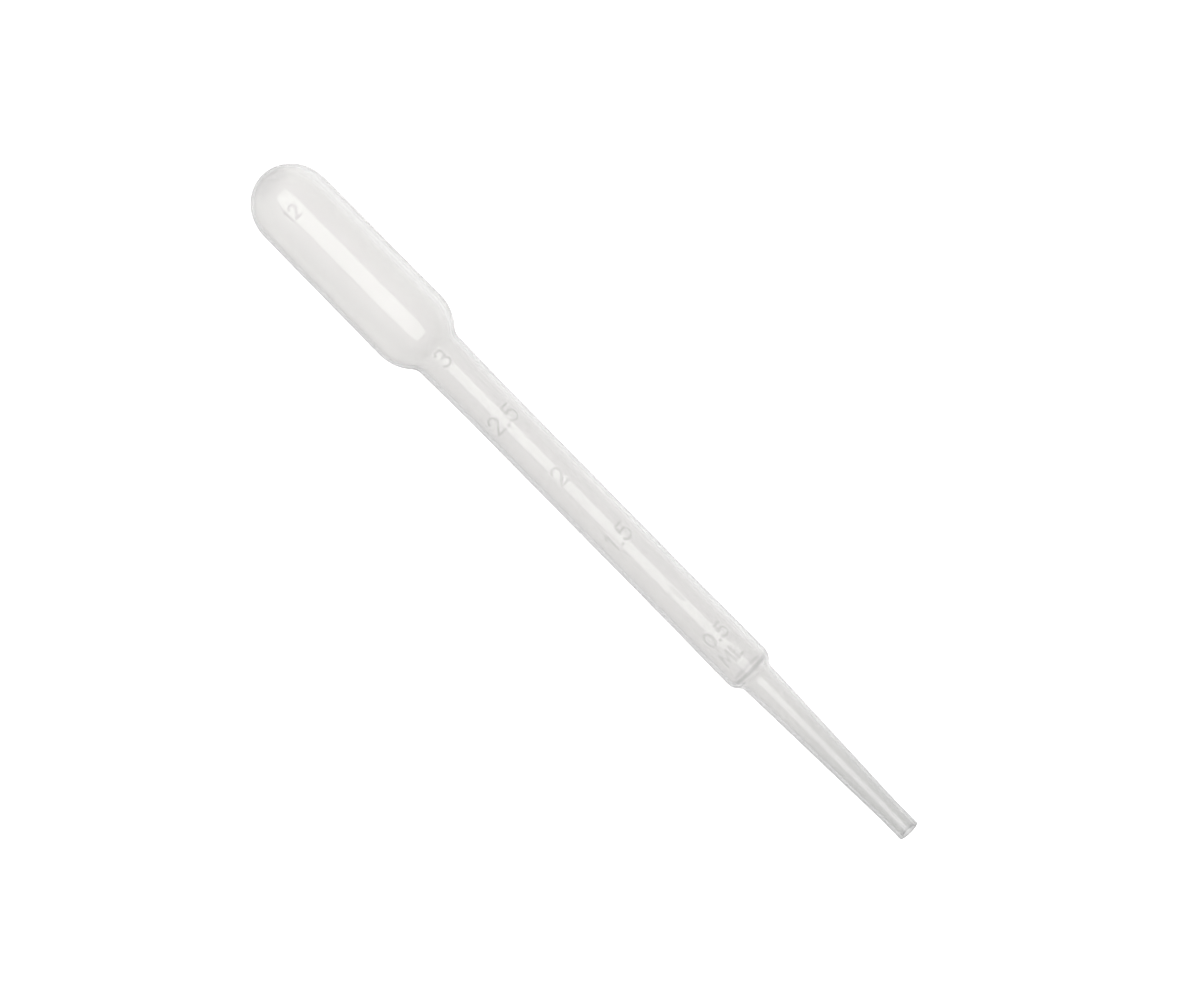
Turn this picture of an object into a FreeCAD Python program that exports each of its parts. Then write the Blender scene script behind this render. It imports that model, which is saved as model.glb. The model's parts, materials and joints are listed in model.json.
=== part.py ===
import FreeCAD
import Part
import math
import os

from FreeCAD import Vector

# A plastic dropper pipette: a bulb, a graduated stem and a drawn tip, blow-moulded in one piece of
# low-density polyethylene. It is hollow from the bulb's closed end to the open mouth of the tip.
#
# Its section is drawn in the XY plane, with the axis along X from the bulb's closed end and the
# radius along Y, and is turned once round the axis. The pipette is then laid down as it comes to
# rest on a bench: on the foot of its bulb and the foot of its stem, with the tip just clear.
# +X runs from the bulb towards the tip, +Z is up, and the origin is under the middle of its box.
#
# All sizes are in millimetres, and lengths are counted along the axis.

# The bulb: a domed end, a wall that widens a little to its foot, and a rounded shoulder.
DOME_LENGTH = 7.3
BULB_LENGTH = 33.8
BULB_RADIUS = 6.86
BULB_SWELL = 0.13
SHOULDER_RADIUS = 8.0

# The stem: a neck that narrows to the parallel tube, and a foot that widens again to the step.
# The neck's swell over the tube is at its line's own start, under the shoulder.
NECK_FILLET = 2.4
NECK_LENGTH = 17.2
NECK_SWELL = 0.29
TUBE_LENGTH = 47.0
TUBE_RADIUS = 4.13
FLARE_LENGTH = 9.0
FOOT_LENGTH = 4.8
FOOT_SWELL = 0.1

# The tip: a rounded step down from the stem, a long taper, and a parallel end that is cut square.
# The taper's top radius is at its line's own start, under the step.
STEP_RADIUS = 2.6
STEP_FILLET = 1.7
TIP_LENGTH = 38.2
TAPER_TOP_RADIUS = 3.05
END_LENGTH = 4.8
END_RADIUS = 1.97

# The walls, thinnest where the bulb was blown out furthest.
BULB_WALL = 0.5
STEM_WALL = 0.68
TIP_WALL = 0.65

# The inside of a rounded corner never gets sharper than this.
LEAST_ROUND = 0.2

# Radii that follow from the sizes above: each end of the stem swells from the tube between them.
BULB_FOOT_RADIUS = BULB_RADIUS + BULB_SWELL
NECK_RADIUS = TUBE_RADIUS + NECK_SWELL
FOOT_RADIUS = TUBE_RADIUS + FOOT_SWELL


def lean(start, end):
    """Angle at which the line from one point of the section to another closes in on the axis."""
    return math.atan2(start.y - end.y, end.x - start.x)


def ahead(angle):
    """Unit vector along a wall that leans in by the angle."""
    return Vector(math.cos(angle), -math.sin(angle), 0)


def outward(angle):
    """Unit vector out of a wall that leans in by the angle."""
    return Vector(math.sin(angle), math.cos(angle), 0)


def line(start, end):
    return Part.LineSegment(start, end).toShape()


def arc(centre, radius, first, last, side):
    """Arc about a centre between the leans of two walls, on its outward (1) or inward (-1) side."""
    points = [centre + outward(a) * (side * radius) for a in (first, (first + last) / 2, last)]
    return Part.Arc(*points).toShape()


def dome(pole, rim, rim_lean):
    """Closed end: a quarter of an ellipse, from its pole on the axis out to the wall at its rim."""
    corner = Vector(pole.x, rim.y + (rim.x - pole.x) * math.tan(rim_lean), 0)
    curve = Part.BezierCurve()
    curve.setPoles([pole, corner, rim])
    curve.setWeight(2, math.sqrt(0.5))
    return curve.toShape()


def rounded_step(start, start_lean, floor, floor_lean, convex, concave):
    """Step in towards the axis: a convex arc that runs into a concave one, down to a floor wall.

    The floor wall is given by a point and a lean. A step too deep for its two arcs gets a flat ring
    between them. Returns the edges and the point where they meet the floor wall.
    """
    reach = convex + concave
    convex_centre = start - outward(start_lean) * convex
    to_floor = floor + outward(floor_lean) * concave - convex_centre
    height = to_floor.dot(outward(floor_lean))
    if height > 0:
        run = math.sqrt(reach ** 2 - height ** 2)
    else:
        run = reach - math.sin(floor_lean) * height
    concave_centre = convex_centre + outward(floor_lean) * height + ahead(floor_lean) * run

    between = concave_centre - convex_centre
    turn = min(math.atan2(between.x, between.y), math.pi / 2)
    convex_end = convex_centre + outward(turn) * convex
    concave_start = concave_centre - outward(turn) * concave
    edges = [arc(convex_centre, convex, start_lean, turn, 1)]
    if height < 0:
        edges.append(line(convex_end, concave_start))
    edges.append(arc(concave_centre, concave, turn, floor_lean, -1))
    return edges, concave_centre - outward(floor_lean) * concave


def skin(bulb_depth=0.0, stem_depth=0.0, tip_depth=0.0):
    """One skin of the wall, from the axis at the bulb's closed end to the mouth of the tip.

    Without depths it is the outside. The inside lies under it by the wall of each part. Returns the
    edges, the first point and the last.
    """
    pole = Vector(bulb_depth, 0, 0)
    bulb_top = Vector(DOME_LENGTH, BULB_RADIUS - bulb_depth, 0)
    bulb_foot = Vector(BULB_LENGTH, BULB_FOOT_RADIUS - bulb_depth, 0)
    bulb_lean = lean(bulb_top, bulb_foot)
    tube_top = Vector(bulb_foot.x + NECK_LENGTH, TUBE_RADIUS - stem_depth, 0)
    neck_floor = Vector(bulb_foot.x, NECK_RADIUS - stem_depth, 0)
    neck_lean = lean(neck_floor, tube_top)
    shoulder_round = max(SHOULDER_RADIUS - bulb_depth, LEAST_ROUND)
    shoulder, neck = rounded_step(
        bulb_foot, bulb_lean, neck_floor, neck_lean, shoulder_round, NECK_FILLET + stem_depth)

    tube_end = tube_top + Vector(TUBE_LENGTH, 0, 0)
    foot_top = Vector(tube_end.x + FLARE_LENGTH, FOOT_RADIUS - stem_depth, 0)
    foot_end = foot_top + Vector(FOOT_LENGTH, 0, 0)

    mouth = Vector(foot_end.x + TIP_LENGTH, END_RADIUS - tip_depth, 0)
    taper_end = mouth - Vector(END_LENGTH, 0, 0)
    taper_floor = Vector(foot_end.x, TAPER_TOP_RADIUS - tip_depth, 0)
    taper_lean = lean(taper_floor, taper_end)
    step_round = max(STEP_RADIUS - stem_depth, LEAST_ROUND)
    step, taper_top = rounded_step(
        foot_end, 0.0, taper_floor, taper_lean, step_round, STEP_FILLET + tip_depth)

    edges = [dome(pole, bulb_top, bulb_lean), line(bulb_top, bulb_foot)]
    edges += shoulder
    edges += [line(neck, tube_top), line(tube_top, tube_end), line(tube_end, foot_top)]
    edges.append(line(foot_top, foot_end))
    edges += step
    edges += [line(taper_top, taper_end), line(taper_end, mouth)]
    return edges, pole, mouth


def make_pipette():
    """Wall between the two skins, turned once round the axis."""
    outside, outer_pole, outer_mouth = skin()
    inside, inner_pole, inner_mouth = skin(BULB_WALL, STEM_WALL, TIP_WALL)
    rim = line(outer_mouth, inner_mouth)
    axis = line(inner_pole, outer_pole)
    outline = Part.Wire(Part.__sortEdges__(outside + [rim] + inside + [axis]))
    return Part.Face(outline).revolve(Vector(0, 0, 0), Vector(1, 0, 0), 360)


def rest_lean():
    """Angle at which the axis dips towards the tip when the rounds of the bulb's foot and of the
    stem's foot both touch the bench."""
    along = NECK_LENGTH + TUBE_LENGTH + FLARE_LENGTH + FOOT_LENGTH
    rise = (FOOT_RADIUS - STEP_RADIUS) - (BULB_FOOT_RADIUS - SHOULDER_RADIUS)
    sag = SHOULDER_RADIUS - STEP_RADIUS
    return math.asin(sag / math.hypot(along, rise)) - math.atan2(rise, along)


def lay_down(body):
    """Dip the axis to its rest, and set the body on the bench with the origin under its middle."""
    body.rotate(Vector(0, 0, 0), Vector(0, 1, 0), math.degrees(rest_lean()))
    box = body.optimalBoundingBox(False)
    body.translate(Vector(-box.Center.x, -box.Center.y, -box.ZMin))
    return body


def main():
    os.makedirs("parts", exist_ok=True)
    pipette = lay_down(make_pipette())
    pipette.exportStep("parts/pipette.step")
    box = pipette.optimalBoundingBox(False)
    size = " x ".join(f"{length:.2f}" for length in (box.XLength, box.YLength, box.ZLength))
    print(f"pipette: {size} mm, {pipette.Volume:.1f} mm3, leans {math.degrees(rest_lean()):.3f} degrees")


main()
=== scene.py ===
import json
import math

import bmesh
import bpy
from bpy.props import FloatProperty, FloatVectorProperty, PointerProperty
from mathutils import Matrix, Vector, noise


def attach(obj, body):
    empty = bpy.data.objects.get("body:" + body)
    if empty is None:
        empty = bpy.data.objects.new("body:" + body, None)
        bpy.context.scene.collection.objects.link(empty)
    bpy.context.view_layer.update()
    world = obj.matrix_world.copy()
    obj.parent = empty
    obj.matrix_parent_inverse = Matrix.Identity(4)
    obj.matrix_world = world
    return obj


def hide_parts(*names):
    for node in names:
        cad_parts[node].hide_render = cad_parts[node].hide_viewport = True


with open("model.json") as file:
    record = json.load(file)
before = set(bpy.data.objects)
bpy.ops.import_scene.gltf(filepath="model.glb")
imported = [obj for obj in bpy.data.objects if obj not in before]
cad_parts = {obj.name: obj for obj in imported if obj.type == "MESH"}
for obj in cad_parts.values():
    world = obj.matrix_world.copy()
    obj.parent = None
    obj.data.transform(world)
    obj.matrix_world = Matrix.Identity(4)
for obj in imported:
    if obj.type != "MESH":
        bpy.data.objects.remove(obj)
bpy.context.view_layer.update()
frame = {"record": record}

bl_info = {
    "name": "Dropper pipette",
    "version": (1, 0, 0),
    "blender": (4, 5, 0),
    "location": "3D View > Sidebar > Pipette",
    "description": "A blow-moulded polyethylene dropper pipette with moulded numbers, on a table",
    "category": "Object",
}

# The pipette is drawn as a section: stations run along its axis from the bulb's closed end, and
# radii run out from the axis. The section is turned round the axis, and angles round it count
# from the top of the lying pipette, where the numbers are, towards +Y.

NODE = "pipette"
MM = 0.001


# ---------------------------------------------------------------------------------------------
# Sizes and colours
# ---------------------------------------------------------------------------------------------

def linear(hex_colour):
    """An sRGB hex colour as the linear RGB that Blender's sockets take."""
    steps = [int(hex_colour[i:i + 2], 16) / 255 for i in (1, 3, 5)]
    return tuple(c / 12.92 if c <= 0.04045 else ((c + 0.055) / 1.055) ** 2.4 for c in steps)


def length(name, description, millimetres):
    return FloatProperty(name=name, description=description, default=millimetres * MM, min=0.0,
                         precision=5, unit="LENGTH")


def angle(name, description, degrees):
    return FloatProperty(name=name, description=description, default=math.radians(degrees),
                         unit="ROTATION")


def colour(name, description, hex_colour):
    return FloatVectorProperty(name=name, description=description, default=linear(hex_colour),
                               size=3, min=0.0, max=1.0, subtype="COLOR")


def number(name, description, value):
    return FloatProperty(name=name, description=description, default=value, min=0.0, precision=3)


def smooth(low, high, value):
    """0 below the low value, 1 above the high one, and a soft rise between them."""
    share = min(1.0, max(0.0, (value - low) / (high - low)))
    return share * share * (3 - 2 * share)


class PipetteSizes(bpy.types.PropertyGroup):
    dome_length: length("Dome length", "How far the bulb's closed end is rounded", 7.3)
    bulb_length: length("Bulb length", "From the closed end to the bulb's foot", 33.8)
    bulb_radius: length("Bulb radius", "Radius where the dome ends", 6.86)
    bulb_swell: length("Bulb swell", "How much the bulb widens to its foot", 0.13)
    shoulder_radius: length("Shoulder round", "Round from the bulb's wall in to the neck", 8.0)
    neck_fillet: length("Neck fillet", "Hollow round between the shoulder and the neck", 2.4)
    neck_length: length("Neck length", "From the bulb's foot to the parallel tube", 17.2)
    neck_swell: length("Neck swell", "How much the neck's line starts wider than the tube", 0.29)
    tube_length: length("Tube length", "The parallel part of the stem", 47.0)
    tube_radius: length("Tube radius", "Outer radius of the stem's parallel part", 4.13)
    flare_length: length("Flare length", "The part that widens to the stem's foot", 9.0)
    foot_length: length("Foot length", "The parallel foot of the stem", 4.8)
    foot_swell: length("Foot swell", "How much the foot is wider than the tube", 0.1)
    step_radius: length("Step round", "Round over the step's outer corner", 2.6)
    step_fillet: length("Step fillet", "Hollow round at the step's inner corner", 1.7)
    tip_length: length("Tip length", "From the stem's foot to the mouth", 38.2)
    taper_top_radius: length("Taper radius", "Radius of the tip's line under the step", 3.05)
    end_length: length("End length", "The tip's parallel end", 4.8)
    end_radius: length("End radius", "Outer radius of the tip's parallel end", 1.97)
    bulb_wall: length("Bulb wall", "Thickness of the bulb's wall", 0.5)
    stem_wall: length("Stem wall", "Thickness of the stem's wall", 0.68)
    tip_wall: length("Tip wall", "Thickness of the tip's wall", 0.65)


class MarkSizes(bpy.types.PropertyGroup):
    numeral_height: length("Number height", "Height of the numbers on the stem", 3.05)
    small_height: length("Small height", "Height of the last number and the unit", 2.5)
    bulb_height: length("Bulb number height", "Height of the mould's number on the bulb", 2.3)
    top_level: length("Top level", "Station of the 3 ml level, the foot of its number", 43.2)
    level_pitch: length("Level pitch", "Between two levels half a millilitre apart", 13.35)
    stroke: length("Stroke width", "Width of a stroke at its foot", 0.7)
    relief: length("Relief", "How far a stroke stands out of the wall", 0.2)
    bulb_depth: length("Bulb depth", "How far the bulb's number is sunk in its wall", 0.12)
    wave: length("Wave", "How high the matt patch round a number ripples", 0.06)
    inner_stroke: length("Inner stroke width", "Width of a stroke's foot on the inner skin", 1.0)
    inner_relief: length("Inner relief", "How far the inner skin follows a stroke", 0.05)


class PlasticLook(bpy.types.PropertyGroup):
    body: colour("Body", "The plastic where it is clearest", "#F9F8F7")
    stem: colour("Stem", "The plastic of the stem", "#F4F3F2")
    cloud: colour("Cloud", "The same where it cooled a little cloudier", "#EAE9E7")
    # The tone at the mouth; the plastic greys along the tip towards it.
    tip: colour("Tip", "The plastic at the mouth, where the least was blown out", "#E0E0DF")
    # Painted shade: the grey that the sides, the closed end, the step and the mouth are painted.
    shade_tone: colour("Thick", "The plastic where the wall is thickest", "#C4C4C4")
    # Painted highlight: the white that a band along the +Y side and the top of the tip are painted.
    highlight_tone: colour("Thin", "The plastic where the wall is thinnest", "#FFFFFF")
    # Painted shade on the strokes of the numbers, greyest along each stroke's middle.
    mark: colour("Mark", "The plastic in a stroke of a number", "#D8D8D6")
    depth: colour("Depth", "What a thick wall turns light to", "#B0B4BA")
    density: number("Density", "How soon the wall turns light to its depth colour, per metre", 40.0)
    clearness: number("Clearness", "Share of the light that the outer skin lets on unspread", 0.74)
    inner_clearness: number("Inner clearness", "The same for the inner skin", 0.96)
    shine_through: number("Shine through", "Share of a lamp's light that each skin lets on", 0.94)
    roughness: number("Roughness", "Of the moulded skin", 0.08)
    matt_roughness: number("Matt roughness", "Of the mould's matt patch round a number", 0.2)
    mark_roughness: number("Mark roughness", "Of the engraved strokes", 0.15)
    inner_roughness: number("Inner roughness", "Of the blown skin, which touched no mould", 0.1)


class StageSizes(bpy.types.PropertyGroup):
    table: colour("Table", "Colour of the table", "#F2F2F2")
    lens: FloatProperty(name="Lens", description="Focal length of the camera", default=71.7,
                        unit="CAMERA")
    camera_height: length("Camera height", "From the table up to the lens", 394.7)
    camera_along: length("Along", "Where the camera stands along the pipette", 0.75)
    camera_aside: length("Aside", "How far the camera stands to the pipette's +Y side", 2.01)
    camera_turn: angle("Turn", "How the camera is turned about its upright axis", 45.44)


# ---------------------------------------------------------------------------------------------
# Section
# ---------------------------------------------------------------------------------------------

ARC_STEP = math.radians(4.0)
LEAST_ROUND = 0.2 * MM
LINE_STEP = 1.5 * MM


def lean(start, end):
    """Angle at which a wall from one point of the section to another closes in on the axis."""
    return math.atan2(start.y - end.y, end.x - start.x)


def ahead(wall_lean):
    return Vector((math.cos(wall_lean), -math.sin(wall_lean)))


def outward(wall_lean):
    return Vector((math.sin(wall_lean), math.cos(wall_lean)))


def line(start, end):
    """Stations of a straight wall, with its end but without its start."""
    count = max(1, math.ceil((end - start).length / LINE_STEP))
    return [start.lerp(end, i / count) for i in range(1, count + 1)]


def arc(centre, radius, first, last, side):
    """Stations of a round between the leans of two walls, without its start."""
    count = max(2, math.ceil(abs(last - first) / ARC_STEP))
    leans = [first + (last - first) * i / count for i in range(1, count + 1)]
    return [centre + outward(a) * (side * radius) for a in leans]


def dome(pole, rim, rim_lean):
    """The closed end: a quarter of an ellipse from its pole on the axis out to the wall."""
    corner = Vector((pole.x, rim.y + (rim.x - pole.x) * math.tan(rim_lean)))
    count = math.ceil(math.pi / 2 / ARC_STEP)
    points = []
    for i in range(1, count + 1):
        turn = math.pi / 2 * i / count
        points.append(corner + (rim - corner) * (1 - math.cos(turn)) +
                      (pole - corner) * (1 - math.sin(turn)))
    return points


def rounded_step(start, start_lean, floor, floor_lean, convex, concave):
    """A round in towards the axis that runs into a hollow one, down to a floor wall."""
    reach = convex + concave
    convex_centre = start - outward(start_lean) * convex
    height = (floor + outward(floor_lean) * concave - convex_centre).dot(outward(floor_lean))
    if height > 0:
        run = math.sqrt(reach ** 2 - height ** 2)
    else:
        run = reach - math.sin(floor_lean) * height
    concave_centre = convex_centre + outward(floor_lean) * height + ahead(floor_lean) * run
    between = concave_centre - convex_centre
    turn = min(math.atan2(between.x, between.y), math.pi / 2)
    points = arc(convex_centre, convex, start_lean, turn, 1)
    if height < 0:
        points += line(points[-1], concave_centre - outward(turn) * concave)
    return points + arc(concave_centre, concave, turn, floor_lean, -1)


def skin(sizes, bulb_depth=0.0, stem_depth=0.0, tip_depth=0.0):
    """Stations and radii of one skin of the wall, from the bulb's closed end to the mouth."""
    s = sizes
    pole = Vector((bulb_depth, 0.0))
    bulb_top = Vector((s.dome_length, s.bulb_radius - bulb_depth))
    bulb_foot = Vector((s.bulb_length, s.bulb_radius + s.bulb_swell - bulb_depth))
    bulb_lean = lean(bulb_top, bulb_foot)
    neck_floor = Vector((s.bulb_length, s.tube_radius + s.neck_swell - stem_depth))
    tube_top = Vector((s.bulb_length + s.neck_length, s.tube_radius - stem_depth))
    neck_lean = lean(neck_floor, tube_top)
    tube_end = tube_top + Vector((s.tube_length, 0.0))
    foot_top = Vector((tube_end.x + s.flare_length, s.tube_radius + s.foot_swell - stem_depth))
    foot_end = foot_top + Vector((s.foot_length, 0.0))
    mouth = Vector((foot_end.x + s.tip_length, s.end_radius - tip_depth))
    taper_end = mouth - Vector((s.end_length, 0.0))
    taper_floor = Vector((foot_end.x, s.taper_top_radius - tip_depth))

    points = [pole] + dome(pole, bulb_top, bulb_lean) + line(bulb_top, bulb_foot)
    points += rounded_step(bulb_foot, bulb_lean, neck_floor, neck_lean,
                           max(s.shoulder_radius - bulb_depth, LEAST_ROUND),
                           s.neck_fillet + stem_depth)
    points += line(points[-1], tube_top) + line(tube_top, tube_end) + line(tube_end, foot_top)
    points += line(foot_top, foot_end)
    points += rounded_step(foot_end, 0.0, taper_floor, lean(taper_floor, taper_end),
                           max(s.step_radius - stem_depth, LEAST_ROUND),
                           s.step_fillet + tip_depth)
    return points + line(points[-1], taper_end) + line(taper_end, mouth)


# ---------------------------------------------------------------------------------------------
# Moulded numbers
# ---------------------------------------------------------------------------------------------

# Degrees between the points of a curved stroke.
BOW_STEP = 15


def bow(x, y, across, up, first, last):
    """Part of an oval stroke, as points, with its angles in degrees from the right."""
    count = max(3, round(abs(last - first) / BOW_STEP))
    angles = [math.radians(first + (last - first) * i / count) for i in range(count + 1)]
    return [(x + across * math.cos(a), y + up * math.sin(a)) for a in angles]


# Each character's width and its strokes, in a cell one unit high with its foot at the left.
GLYPHS = {
    "0": (0.58, [bow(0.29, 0.5, 0.27, 0.48, 0, 360)]),
    "1": (0.34, [[(0.04, 0.76), (0.24, 0.98), (0.24, 0.02)]]),
    "2": (0.58, [bow(0.29, 0.70, 0.26, 0.28, 165, -35) + [(0.03, 0.03), (0.56, 0.03)]]),
    "3": (0.58, [bow(0.27, 0.74, 0.24, 0.24, 150, -90) + bow(0.27, 0.26, 0.28, 0.24, 75, -155)]),
    "5": (0.58, [[(0.52, 0.98), (0.10, 0.98), (0.06, 0.56)] +
                 bow(0.27, 0.33, 0.28, 0.31, 125, -150)]),
    ".": (0.16, [[(0.08, 0.04), (0.08, 0.06)]]),
    "M": (0.80, [[(0.03, 0.02), (0.10, 0.98), (0.40, 0.25), (0.70, 0.98), (0.77, 0.02)]]),
    "L": (0.52, [[(0.04, 0.98), (0.04, 0.03), (0.50, 0.03)]]),
}
GLYPH_GAP = 0.17

# The numbers of the levels, how far each foot stands from its even place, and how fully each is
# cut in the mould.
LEVELS = (("3", 0.0, 1.0), ("2.5", 0.4 * MM, 1.0), ("2", -0.1 * MM, 0.8), ("1.5", 0.15 * MM, 1.0),
          ("1", 0.0, 0.35))
# The last level's number stands over its unit, and both are small. How far the unit's foot is over
# the level and to one side, how many heights the number's foot is over the unit's, and how fully
# both are cut.
UNIT_LIFT = 0.4 * MM
UNIT_ASIDE = -0.5 * MM
ROW_PITCH = 1.6
SMALL_FULL = 0.9
# The mould's number on the bulb: its foot's station, its place round the wall, and its strokes'
# width as a share of the others'.
BULB_FOOT = 9.8 * MM
BULB_ASIDE = -1.0 * MM
BULB_STROKE = 0.75

# How far apart the stations are where a number crosses the outer skin, and the inner one.
SPACING = 0.13 * MM
INNER_SPACING = 0.4 * MM
# How far round a number its matt patch fades out.
MATT_RIM = 0.6 * MM
# The matt patch ripples, and its ripples are about this wide.
RIPPLE = 0.55 * MM


class Mark:
    """One moulded number: its strokes on the wall, as points round the wall and along the axis."""

    def __init__(self, text, foot, height, aside, full, stroke, relief, wave):
        width = sum(GLYPHS[c][0] for c in text) + GLYPH_GAP * (len(text) - 1)
        self.strokes = []
        pen = -width / 2
        for character in text:
            cell, lines = GLYPHS[character]
            for points in lines:
                self.strokes.append([((pen + x) * height + aside, foot - y * height)
                                     for x, y in points])
            pen += cell + GLYPH_GAP
        self.reach = stroke / 2
        self.full = full
        self.relief = relief
        self.wave = wave
        spots = [p for points in self.strokes for p in points]
        self.low = [min(p[i] for p in spots) for i in (0, 1)]
        self.high = [max(p[i] for p in spots) for i in (0, 1)]

    def spans(self, station):
        """Whether the number or its matt patch crosses a station."""
        return self.low[1] - MATT_RIM <= station <= self.high[1] + MATT_RIM

    def past(self, around, station):
        """How far a place round the wall and along it lies outside the number's own frame."""
        gaps = [max(low - at, at - high, 0.0)
                for low, at, high in zip(self.low, (around, station), self.high)]
        return math.hypot(*gaps)

    def matt(self, around, station):
        """How matt the mould was left round the number: fully in the frame, and not far out."""
        return 1 - smooth(0.0, MATT_RIM, self.past(around, station))

    def share(self, around, station):
        """How much of its full height a stroke has at a place round the wall and along it."""
        if self.past(around, station) > self.reach:
            return 0.0
        nearest = self.reach
        for points in self.strokes:
            for (ax, ay), (bx, by) in zip(points, points[1:]):
                dx, dy = bx - ax, by - ay
                way = ((around - ax) * dx + (station - ay) * dy) / (dx * dx + dy * dy)
                way = min(1.0, max(0.0, way))
                nearest = min(nearest,
                              math.hypot(around - ax - dx * way, station - ay - dy * way))
        return self.full * (1 - (nearest / self.reach) ** 2) ** 2


def moulded_marks(m, stroke, relief):
    """The numbers: raised and half a millilitre apart on the stem, and the mould's own sunk in the
    bulb."""
    rows = [(text, m.top_level + i * m.level_pitch + shift, m.numeral_height, 0.0, full)
            for i, (text, shift, full) in enumerate(LEVELS)]
    unit = m.top_level + len(LEVELS) * m.level_pitch - UNIT_LIFT
    rows.append(("0.5", unit - ROW_PITCH * m.small_height, m.small_height, 0.0, SMALL_FULL))
    rows.append(("ML", unit, m.small_height, UNIT_ASIDE, SMALL_FULL))
    marks = [Mark(*row, stroke, relief, m.wave) for row in rows]
    marks.append(Mark("12", BULB_FOOT, m.bulb_height, BULB_ASIDE, 1.0, BULB_STROKE * stroke,
                      -m.bulb_depth, 0.0))
    return marks


def finer(points, marks, spacing):
    """The same skin with close stations wherever a number crosses it."""
    found = [points[0]]
    for start, end in zip(points, points[1:]):
        if any(mark.spans(start.x) or mark.spans(end.x) or
               start.x < mark.low[1] < end.x for mark in marks):
            count = max(1, math.ceil((end - start).length / spacing))
            found += [start.lerp(end, i / count) for i in range(1, count + 1)]
        else:
            found.append(end)
    return found


# ---------------------------------------------------------------------------------------------
# Mesh
# ---------------------------------------------------------------------------------------------

NUMBER_SPREAD = math.radians(50.0)
FINE_TURN = math.radians(1.5)
COARSE_TURN = math.radians(4.0)
# The wall's own measure of which skin a point is on: 0 on the moulded one, 1 on the blown one.
BLOWN = "blown"
# Where the mould was engraved: 0 beside a stroke, 1 along its middle.
MARKED = "marked"
# Where it was left matt round a number: 0 far from it, 1 in its frame.
MATT = "matt"
# The plastic's painted shade, above 0 and up to 1, and its painted highlight, below 0 and down to
# -1.
PAINTED_SHADING = "painted_shading"

# How much painted shade each place gets, and the stations between which that fades or rises. At
# the closed end, counted from its pole:
END_SHADE = 0.4
END_FADE = (0.8 * MM, 3.2 * MM)
# In the step's corner, a ring this far past the stem's foot, which fades this far from itself:
STEP_SHADE = 0.55
STEP_RING = 0.7 * MM
STEP_FADE = (0.15 * MM, 0.5 * MM)
# At the mouth, counted from it:
MOUTH_SHADE = 0.9
MOUTH_RISE = (-1.0 * MM, -0.3 * MM)
# Down the tip, counted from the stem's foot, for the painted shade on its sides and the painted
# highlight on its top:
TIP_RISE = (5 * MM, 25 * MM)
TOP_RISE = (10 * MM, 36 * MM)

# The same round the wall, where a side is 1 at the -Y edge, 0 on top and -1 at the +Y edge. Painted
# shade along the -Y side: how much everywhere, and how much more at the stem's foot, on the tip and
# at the very edge. The band starts nearer the top on the stem than on the bulb, and changes between
# stations:
SIDE_SHADE = 0.2
FOOT_SHADE = 0.05
TIP_SHADE = 0.14
RIM_SHADE = 0.33
BULB_BAND = 0.82
STEM_BAND = 0.75
BAND_RISE = 0.1
BAND_CHANGE = (34 * MM, 42 * MM)
RIM_RISE = (0.93, 0.98)
# Along the +Y side, painted shade on the tip, and elsewhere a band of painted highlight, as the
# bright line at that edge, which starts at the dome:
TIP_OTHER_SHADE = 0.2
TIP_OTHER_RISE = (0.8, 0.9)
HIGHLIGHT_RISE = (0.80, 0.86)
HIGHLIGHT_FADE = (0.89, 0.94)
HIGHLIGHT_START = (1.0 * MM, 5.0 * MM)
# A painted highlight along the top of the tip:
TOP_HIGHLIGHT = 0.35
TOP_FADE = (0.15, 0.4)


def columns():
    """Angles round the axis: close where the numbers are, wider elsewhere, exact at the sides."""
    fine = round(NUMBER_SPREAD / FINE_TURN)
    quarter = math.pi / 2
    to_side = round((quarter - NUMBER_SPREAD) / COARSE_TURN)
    under = round(math.pi / COARSE_TURN)
    right = [NUMBER_SPREAD * i / fine for i in range(fine)]
    right += [NUMBER_SPREAD + (quarter - NUMBER_SPREAD) * i / to_side for i in range(to_side)]
    below = [quarter + math.pi * i / under for i in range(under + 1)]
    left = [2 * math.pi - a for a in reversed(right[1:])]
    return right + below + left


def stem_mount():
    """Middle and axis of the stem's parallel part, in the shared frame."""
    stem = next(m for m in frame["record"]["mounts"] if m["name"] == "stem")
    return Vector(stem["pos_m"]), Vector(stem["axis"])


def placed(sizes):
    """A function that puts a section point, turned round the axis, in the shared frame."""
    middle, axis = stem_mount()
    along = axis.normalized()
    origin = middle - along * (sizes.bulb_length + sizes.neck_length + sizes.tube_length / 2)
    aside = Vector((0.0, 1.0, 0.0))
    up = along.cross(aside)

    def place(point, turn):
        return origin + along * point.x + (aside * math.sin(turn) + up * math.cos(turn)) * point.y

    return place


def raised(points, turns, marks):
    """Rings of section points at each angle, moved out where a number stands on the wall. With
    each point comes how much of a stroke's height it has, and how matt it is."""
    rings = []
    for i in range(1, len(points)):
        point = points[i]
        after = points[min(i + 1, len(points) - 1)]
        way = (after - points[i - 1]).normalized()
        out = Vector((-way.y, way.x))
        near = [mark for mark in marks if mark.spans(point.x)]
        ring = []
        for turn in turns:
            around = (turn if turn < math.pi else turn - 2 * math.pi) * point.y
            share = matt = rise = 0.0
            for mark in near:
                height = mark.share(around, point.x)
                if height > share:
                    share = height
                    rise = share * mark.relief
                matt = max(matt, mark.matt(around, point.x))
            if matt:
                spot = Vector((around, point.x, 0.0)) / RIPPLE
                rise += matt * near[0].wave * noise.noise(spot)
            ring.append((point + out * rise, share, matt))
        rings.append(ring)
    return rings


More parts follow.
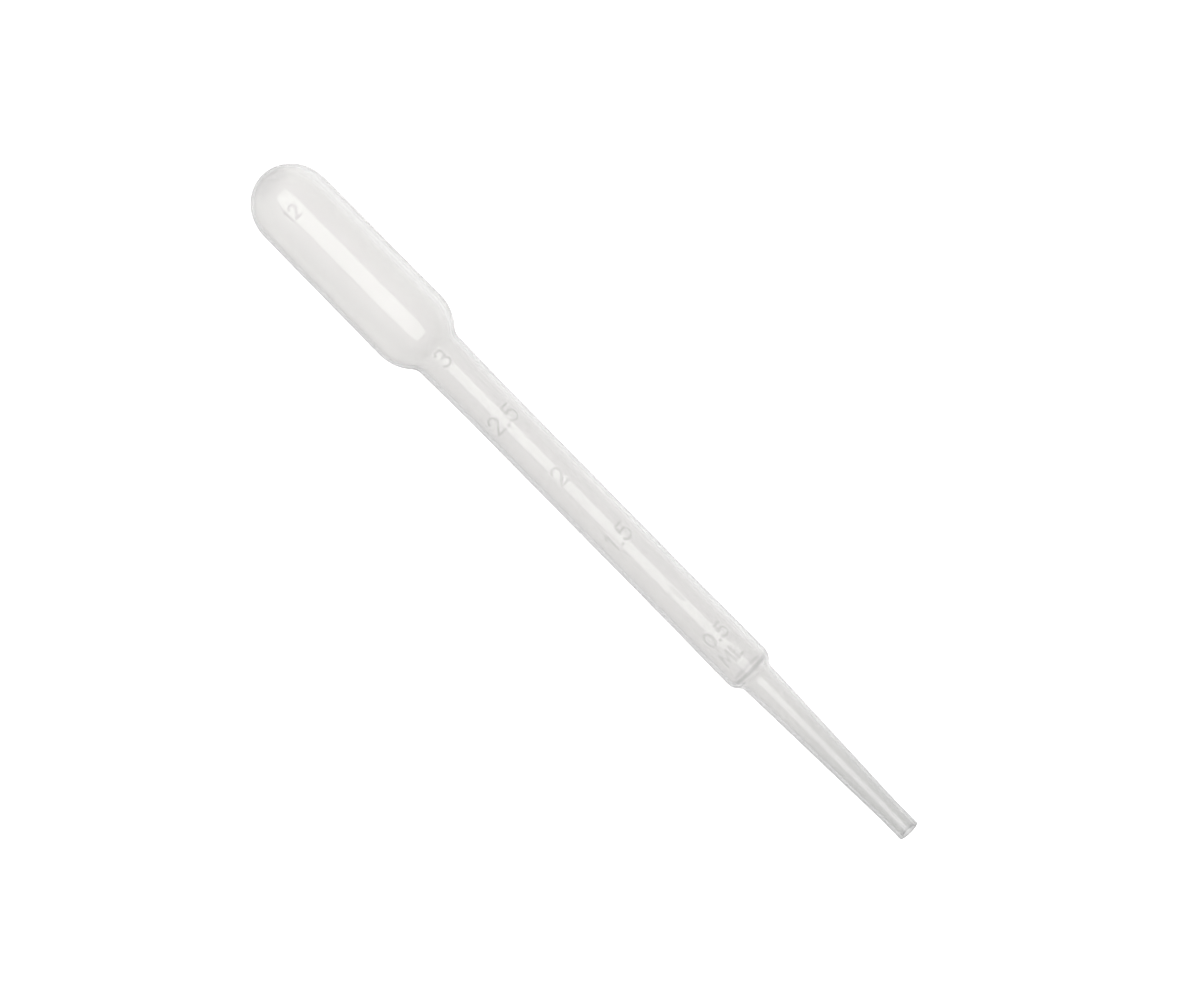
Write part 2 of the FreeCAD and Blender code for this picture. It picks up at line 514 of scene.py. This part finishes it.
def painted_shading_at(sizes, station, turn):
    """How much painted shade, above 0, and painted highlight, below 0, the wall gets at a station
    and an angle.

    Painted shade darkens the -Y side, as the shade along that edge, the tip's sides, the closed
    end, a ring in the step's corner and the mouth. A painted highlight lightens a band along the +Y
    side, as the bright line at that edge, and the top of the tip, as a brighter streak there. The
    wall's own thickness stays as drawn.
    """
    side = -math.sin(turn)
    foot = sizes.bulb_length + sizes.neck_length + sizes.tube_length + sizes.flare_length
    foot += sizes.foot_length
    down_tip = smooth(*TIP_RISE, station - foot)
    at_end = END_SHADE * (1 - smooth(*END_FADE, station))
    at_step = STEP_SHADE * (1 - smooth(*STEP_FADE, abs(station - foot - STEP_RING)))
    at_mouth = MOUTH_SHADE * smooth(*MOUTH_RISE, station - foot - sizes.tip_length)
    band = BULB_BAND + (STEM_BAND - BULB_BAND) * smooth(*BAND_CHANGE, station)
    along = SIDE_SHADE + FOOT_SHADE * station / foot + TIP_SHADE * down_tip
    along *= smooth(band, band + BAND_RISE, side)
    along += RIM_SHADE * smooth(*RIM_RISE, side)
    other = TIP_OTHER_SHADE * down_tip * smooth(*TIP_OTHER_RISE, -side)
    painted_highlight = smooth(*HIGHLIGHT_RISE, -side) * (1 - smooth(*HIGHLIGHT_FADE, -side))
    painted_highlight *= smooth(*HIGHLIGHT_START, station) * (1 - down_tip)
    if math.cos(turn) > 0:
        on_top = smooth(*TOP_RISE, station - foot) * (1 - smooth(*TOP_FADE, abs(side)))
        painted_highlight += TOP_HIGHLIGHT * on_top * (1 - at_mouth)
    return max(at_end, at_step, at_mouth, along, other) - painted_highlight


def pipette_mesh(sizes, marks):
    """The wall as one closed shell: outer skin, the cut end, and inner skin. The inside follows
    each stroke of a number, but more softly."""
    turns = columns()
    place = placed(sizes)
    outer_marks = moulded_marks(marks, marks.stroke, marks.relief)
    inner_marks = moulded_marks(marks, marks.inner_stroke, marks.inner_relief)
    outside = finer(skin(sizes), outer_marks, SPACING)
    inside = finer(skin(sizes, sizes.bulb_wall, sizes.stem_wall, sizes.tip_wall), inner_marks,
                   INNER_SPACING)
    mesh = bmesh.new()
    blown, marked, dull, painted_shading = [mesh.verts.layers.float.new(name)
                                   for name in (BLOWN, MARKED, MATT, PAINTED_SHADING)]

    def ring_of(points):
        ring = []
        for (point, share, matt), turn in zip(points, turns):
            vert = mesh.verts.new(place(point, turn))
            vert[marked], vert[dull] = share, matt
            # Painted shade and painted highlight, which only the plastic's colour reads.
            vert[painted_shading] = painted_shading_at(sizes, point.x, turn)
            ring.append(vert)
        return ring

    def join(a, b):
        for i in range(len(turns)):
            j = (i + 1) % len(turns)
            mesh.faces.new((a[i], b[i], b[j], a[j]))

    def cap(pole, ring):
        for i in range(len(turns)):
            mesh.faces.new((pole, ring[i], ring[(i + 1) % len(turns)]))

    outer_rings = [ring_of(ring) for ring in raised(outside, turns, outer_marks)]
    outer_pole = mesh.verts.new(place(outside[0], 0.0))
    inner_rings = [ring_of(ring) for ring in raised(inside, turns, inner_marks)]
    inner_pole = mesh.verts.new(place(inside[0], 0.0))
    for vert in [inner_pole] + [vert for ring in inner_rings for vert in ring]:
        vert[blown], vert[marked] = 1.0, 0.0

    cap(outer_pole, outer_rings[0])
    for a, b in zip(outer_rings, outer_rings[1:]):
        join(a, b)
    join(outer_rings[-1], inner_rings[-1])
    back = inner_rings[::-1]
    for a, b in zip(back, back[1:]):
        join(a, b)
    cap(inner_pole, inner_rings[0][::-1])

    bmesh.ops.recalc_face_normals(mesh, faces=mesh.faces)
    for face in mesh.faces:
        face.smooth = True
    for ring in (outer_rings[-1], inner_rings[-1]):
        for i in range(len(turns)):
            mesh.edges.get((ring[i], ring[(i + 1) % len(turns)])).smooth = False
    data = bpy.data.meshes.new("moulded_pipette")
    mesh.to_mesh(data)
    mesh.free()
    return data


# ---------------------------------------------------------------------------------------------
# Materials
# ---------------------------------------------------------------------------------------------

# How strongly low-density polyethylene bends light.
LDPE_IOR = 1.51
# Where the plastic's tone changes along the axis, from the middle of the pipette.
STEM_TONE = (-45 * MM, -30 * MM)
TIP_TONE = (35 * MM, 75 * MM)
# Clouds in the plastic, how far they are drawn out along the tube, and how much they show.
CLOUD_SIZE = 4 * MM
CLOUD_DRAW = 4
CLOUD_SHARE = 0.2
# Lines that the die left along the tube, and how far they are drawn out.
DIE_LINE = 0.4 * MM
DIE_LINE_DRAW = 60
# Grains that the mould's polish left of its fine blasting, drawn coarser than real ones so that
# they show. How high they and the lines stand, and how strongly that shows:
BLAST_GRAIN = 0.25 * MM
SKIN_RELIEF = 0.01 * MM
SKIN_STRENGTH = 0.006
# The table's press grain, how high it stands and how strongly that shows, and how bright the
# table is washed.
LAMINATE_GRAIN = 1 * MM
LAMINATE_RELIEF = 0.05 * MM
LAMINATE_STRENGTH = 0.05
TABLE_WASH = 0.6
WHITE = (1.0, 1.0, 1.0, 1.0)


def node(tree, kind, inputs=None, **settings):
    """Adds a node with its settings. Each input named gets a value, or a link from a socket."""
    made = tree.nodes.new(kind)
    for name, value in settings.items():
        setattr(made, name, value)
    for name, value in (inputs or {}).items():
        if isinstance(value, bpy.types.NodeSocket):
            tree.links.new(value, made.inputs[name])
        else:
            made.inputs[name].default_value = value
    return made


def blank(name):
    """An empty material and its node tree."""
    material = bpy.data.materials.new(name)
    material.use_nodes = True
    material.node_tree.nodes.clear()
    return material, material.node_tree


def blow_moulded_ldpe(look, tilt):
    """Low-density polyethylene without pigment, extruded as a tube and blown into a polished mould.

    It is a waxy plastic, and its crystals make it milky: the eye sees what is behind it, evenly
    and a little greyer, and no outline through it. The mould gives the outside a soft gloss. The
    inside touched nothing but air, so it is duller. Painted shade darkens the plastic at the -Y
    side, the closed end, the step, the mouth, the tip's sides and the strokes of the numbers, and a
    painted highlight lightens a band along the +Y side and the top of the tip.
    """
    material, tree = blank("blow_moulded_ldpe")
    wall = {name: node(tree, "ShaderNodeAttribute", attribute_name=name).outputs["Fac"]
            for name in (BLOWN, MARKED, MATT, PAINTED_SHADING)}
    place = node(tree, "ShaderNodeTexCoord").outputs["Object"]
    # Along the axis, from the middle of the pipette.
    level = node(tree, "ShaderNodeMapping", {"Vector": place, "Rotation": (0.0, -tilt, 0.0)},
                 vector_type="POINT").outputs[0]
    station = node(tree, "ShaderNodeSeparateXYZ", {"Vector": level}).outputs["X"]

    # The plastic is greyer along the stem, and greyer still towards the tip.
    on_stem, on_tip = [
        node(tree, "ShaderNodeMapRange", {"Value": station, "From Min": first, "From Max": last})
        for first, last in (STEM_TONE, TIP_TONE)]
    drawn = node(tree, "ShaderNodeMapping", {"Vector": level, "Scale": (1 / CLOUD_DRAW, 1.0, 1.0)},
                 vector_type="POINT")
    clouds = node(tree, "ShaderNodeTexNoise",
                  {"Vector": drawn.outputs[0], "Scale": 1 / CLOUD_SIZE, "Detail": 3.0})
    cloudy = node(tree, "ShaderNodeMath", {0: clouds.outputs["Fac"], 1: CLOUD_SHARE},
                  operation="MULTIPLY")
    # Painted shade greys the plastic and a painted highlight whitens it. The strokes of the numbers
    # get painted shade too.
    painted_highlight = node(tree, "ShaderNodeMath", {0: wall[PAINTED_SHADING], 1: -1.0}, operation="MULTIPLY")
    tone = (*look.body, 1.0)
    for share, full in (
            (on_stem.outputs["Result"], look.stem), (on_tip.outputs["Result"], look.tip),
            (cloudy.outputs[0], look.cloud), (wall[PAINTED_SHADING], look.shade_tone),
            (painted_highlight.outputs[0], look.highlight_tone), (wall[MARKED], look.mark)):
        mixed = node(tree, "ShaderNodeMix", {"Factor": share, "A": tone, "B": (*full, 1.0)},
                     data_type="RGBA")
        tone = mixed.outputs["Result"]

    lined = node(tree, "ShaderNodeMapping",
                 {"Vector": level, "Scale": (1 / DIE_LINE_DRAW, 1.0, 1.0)}, vector_type="POINT")
    lines = node(tree, "ShaderNodeTexNoise",
                 {"Vector": lined.outputs[0], "Scale": 1 / DIE_LINE, "Detail": 1.0})
    grain = node(tree, "ShaderNodeTexNoise",
                 {"Vector": place, "Scale": 1 / BLAST_GRAIN, "Detail": 2.0})
    both = node(tree, "ShaderNodeMath", {0: lines.outputs["Fac"], 1: grain.outputs["Fac"]},
                operation="ADD")
    bump = node(tree, "ShaderNodeBump", {"Height": both.outputs[0], "Strength": SKIN_STRENGTH,
                                         "Distance": SKIN_RELIEF})

    # The blown skin is duller than the moulded one, a matt patch duller still, and the engraved
    # strokes, which were left unpolished, a little less than the patch.
    rough = look.roughness
    for name, full in ((BLOWN, look.inner_roughness), (MATT, look.matt_roughness),
                       (MARKED, look.mark_roughness)):
        mixed = node(tree, "ShaderNodeMapRange", {"Value": wall[name], "To Min": rough,
                                                  "To Max": full})
        rough = mixed.outputs["Result"]
    clear = node(tree, "ShaderNodeMapRange", {"Value": wall[BLOWN], "To Min": look.clearness,
                                              "To Max": look.inner_clearness})
    surface = node(tree, "ShaderNodeBsdfPrincipled", {
        "Base Color": tone, "Roughness": rough, "IOR": LDPE_IOR, "Normal": bump.outputs[0],
        "Transmission Weight": clear.outputs["Result"]})

    # Each skin lets a lamp's light on, which the inside and the table under the pipette get.
    path = node(tree, "ShaderNodeLightPath")
    passed = node(tree, "ShaderNodeMath", {0: path.outputs["Is Shadow Ray"], 1: look.shine_through},
                  operation="MULTIPLY")
    open_way = node(tree, "ShaderNodeBsdfTransparent")
    shown = node(tree, "ShaderNodeMixShader", {0: passed.outputs[0], 1: surface.outputs[0],
                                               2: open_way.outputs[0]})
    depth = node(tree, "ShaderNodeVolumeAbsorption", {"Color": (*look.depth, 1.0),
                                                      "Density": look.density})
    node(tree, "ShaderNodeOutputMaterial", {"Surface": shown.outputs[0],
                                            "Volume": depth.outputs[0]})
    return material


def white_laminate(table):
    """A table top of matt white laminate, pressed with a fine grain. To the eye it is even and
    bright, and it takes soft shadows. What looks at it straight sees it washed out to white."""
    material, tree = blank("white_laminate")
    path = node(tree, "ShaderNodeLightPath")
    wash = node(tree, "ShaderNodeMath", {0: path.outputs["Is Camera Ray"], 1: TABLE_WASH},
                operation="MULTIPLY")
    glow = node(tree, "ShaderNodeEmission", {"Strength": wash.outputs[0]})
    place = node(tree, "ShaderNodeTexCoord").outputs["Object"]
    grain = node(tree, "ShaderNodeTexNoise", {"Vector": place, "Scale": 1 / LAMINATE_GRAIN})
    bump = node(tree, "ShaderNodeBump", {"Height": grain.outputs["Fac"],
                                         "Strength": LAMINATE_STRENGTH,
                                         "Distance": LAMINATE_RELIEF})
    matt = node(tree, "ShaderNodeBsdfDiffuse", {"Color": (*table, 1.0), "Normal": bump.outputs[0]})
    both = node(tree, "ShaderNodeAddShader", {0: matt.outputs[0], 1: glow.outputs[0]})
    node(tree, "ShaderNodeOutputMaterial", {"Surface": both.outputs[0]})
    return material


# ---------------------------------------------------------------------------------------------
# Stage
# ---------------------------------------------------------------------------------------------

TABLE_SIDE = 6.0
# How bright the studio's walls are, at the -Y end and at the +Y end.
WALLS_LOW = 0.74
WALLS_HIGH = 0.54
# The softboxes: where each hangs, its length and width, all in metres, and its power in watts.
OVERHEAD = ((0.0, 0.0, 0.9), (1.64, 0.73), 4.8)
KEY = ((0.0, 0.5, 0.85), (1.6, 0.3), 3.0)
# Both face the middle of the pipette.
LAMPS_FACE = Vector((0.0, 0.0, 0.007))
# Past this cosine a lamp hangs straight overhead, and +Y is the way up for it instead of +Z.
OVERHEAD_COSINE = 0.999
# The camera is close enough to need a near clip of its own.
NEAR_CLIP = 0.01


def add_object(name, data):
    made = bpy.data.objects.new(name, data)
    bpy.context.scene.collection.objects.link(made)
    return made


def softbox(name, place, size, power):
    """A white rectangular lamp that faces the pipette, with its length along X."""
    lamp = bpy.data.lights.new(name, "AREA")
    lamp.shape = "RECTANGLE"
    lamp.size, lamp.size_y = size
    lamp.energy = power
    made = add_object(name, lamp)
    back = (Vector(place) - LAMPS_FACE).normalized()
    up = Vector((0.0, 0.0, 1.0)) if abs(back.z) <= OVERHEAD_COSINE else Vector((0.0, 1.0, 0.0))
    right = up.cross(back).normalized()
    turn = Matrix((right, back.cross(right), back)).transposed()
    made.matrix_world = Matrix.Translation(place) @ turn.to_4x4()
    return made


def add_lamps():
    """A large softbox overhead, which the pipette mirrors as one long streak, and a key from the +Y
    side that lights the plastic and the table, and is in no reflection."""
    softbox("overhead_softbox", *OVERHEAD)
    key = softbox("key_softbox", *KEY)
    key.visible_glossy = False
    key.visible_transmission = False


def add_table(stage):
    """A table wide enough that the camera sees no edge of it."""
    mesh = bmesh.new()
    bmesh.ops.create_grid(mesh, x_segments=1, y_segments=1, size=TABLE_SIDE / 2)
    data = bpy.data.meshes.new("table")
    mesh.to_mesh(data)
    mesh.free()
    data.materials.append(white_laminate(stage.table))
    add_object("table", data)


def add_world():
    """Studio walls: pale grey to the object and brighter at the -Y end, plain white behind it."""
    world = bpy.data.worlds.new("studio")
    world.use_nodes = True
    tree = world.node_tree
    tree.nodes.clear()
    path = node(tree, "ShaderNodeLightPath")
    way = node(tree, "ShaderNodeTexCoord").outputs["Generated"]
    sides = node(tree, "ShaderNodeSeparateXYZ", {"Vector": way})
    light = node(tree, "ShaderNodeMapRange", {"Value": sides.outputs["Y"], "From Min": -1.0,
                                              "To Min": WALLS_LOW, "To Max": WALLS_HIGH})
    walls = node(tree, "ShaderNodeBackground",
                 {"Color": WHITE, "Strength": light.outputs["Result"]})
    white = node(tree, "ShaderNodeBackground", {"Color": WHITE})
    shown = node(tree, "ShaderNodeMixShader", {0: path.outputs["Is Camera Ray"],
                                               1: walls.outputs[0], 2: white.outputs[0]})
    node(tree, "ShaderNodeOutputWorld", {"Surface": shown.outputs[0]})
    bpy.context.scene.world = world


def add_camera(stage):
    """A camera straight over the pipette, turned so that the pipette lies across its frame."""
    data = bpy.data.cameras.new("camera")
    data.lens = stage.lens
    data.clip_start = NEAR_CLIP
    made = add_object("camera", data)
    made.location = (stage.camera_along, stage.camera_aside, stage.camera_height)
    made.rotation_euler = (0.0, 0.0, stage.camera_turn)
    bpy.context.scene.camera = made


# ---------------------------------------------------------------------------------------------
# Operators and panel
# ---------------------------------------------------------------------------------------------

class PIPETTE_OT_build_body(bpy.types.Operator):
    """Build the pipette as one moulded piece, with its numbers in relief"""

    bl_idname = "pipette.build_body"
    bl_label = "Build pipette"

    def execute(self, context):
        scene = context.scene
        _, axis = stem_mount()
        tilt = math.atan2(-axis.z, axis.x)
        data = pipette_mesh(scene.pipette_sizes, scene.pipette_marks)
        data.materials.append(blow_moulded_ldpe(scene.pipette_look, tilt))
        piece = add_object("moulded_pipette", data)
        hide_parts(NODE)
        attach(piece, "root")
        return {"FINISHED"}


class PIPETTE_OT_build_stage(bpy.types.Operator):
    """Build the table, the soft light and the camera over the pipette"""

    bl_idname = "pipette.build_stage"
    bl_label = "Build stage"

    def execute(self, context):
        scene = context.scene
        add_table(scene.pipette_stage)
        add_world()
        add_lamps()
        add_camera(scene.pipette_stage)
        scene.view_settings.view_transform = "Standard"
        return {"FINISHED"}


class PIPETTE_PT_panel(bpy.types.Panel):
    """Sidebar panel with a button for each part, and its sizes under it"""

    bl_idname = "PIPETTE_PT_panel"
    bl_label = "Pipette"
    bl_space_type = "VIEW_3D"
    bl_region_type = "UI"
    bl_category = "Pipette"

    def draw(self, context):
        for operator, group in PARTS:
            box = self.layout.box()
            box.operator(operator)
            for name in group:
                settings = getattr(context.scene, name)
                for prop in settings.bl_rna.properties:
                    if prop.identifier not in ("rna_type", "name"):
                        box.prop(settings, prop.identifier)


PARTS = (
    (PIPETTE_OT_build_body.bl_idname, ("pipette_sizes", "pipette_marks", "pipette_look")),
    (PIPETTE_OT_build_stage.bl_idname, ("pipette_stage",)),
)
GROUPS = {"pipette_sizes": PipetteSizes, "pipette_marks": MarkSizes,
          "pipette_look": PlasticLook, "pipette_stage": StageSizes}
CLASSES = (*GROUPS.values(), PIPETTE_OT_build_body, PIPETTE_OT_build_stage, PIPETTE_PT_panel)


def register():
    for kind in CLASSES:
        bpy.utils.register_class(kind)
    for name, kind in GROUPS.items():
        setattr(bpy.types.Scene, name, PointerProperty(type=kind))


def unregister():
    for name in GROUPS:
        delattr(bpy.types.Scene, name)
    for kind in reversed(CLASSES):
        bpy.utils.unregister_class(kind)


def main():
    register()
    bpy.ops.pipette.build_body()
    bpy.ops.pipette.build_stage()


if __name__ == "__main__":
    main()
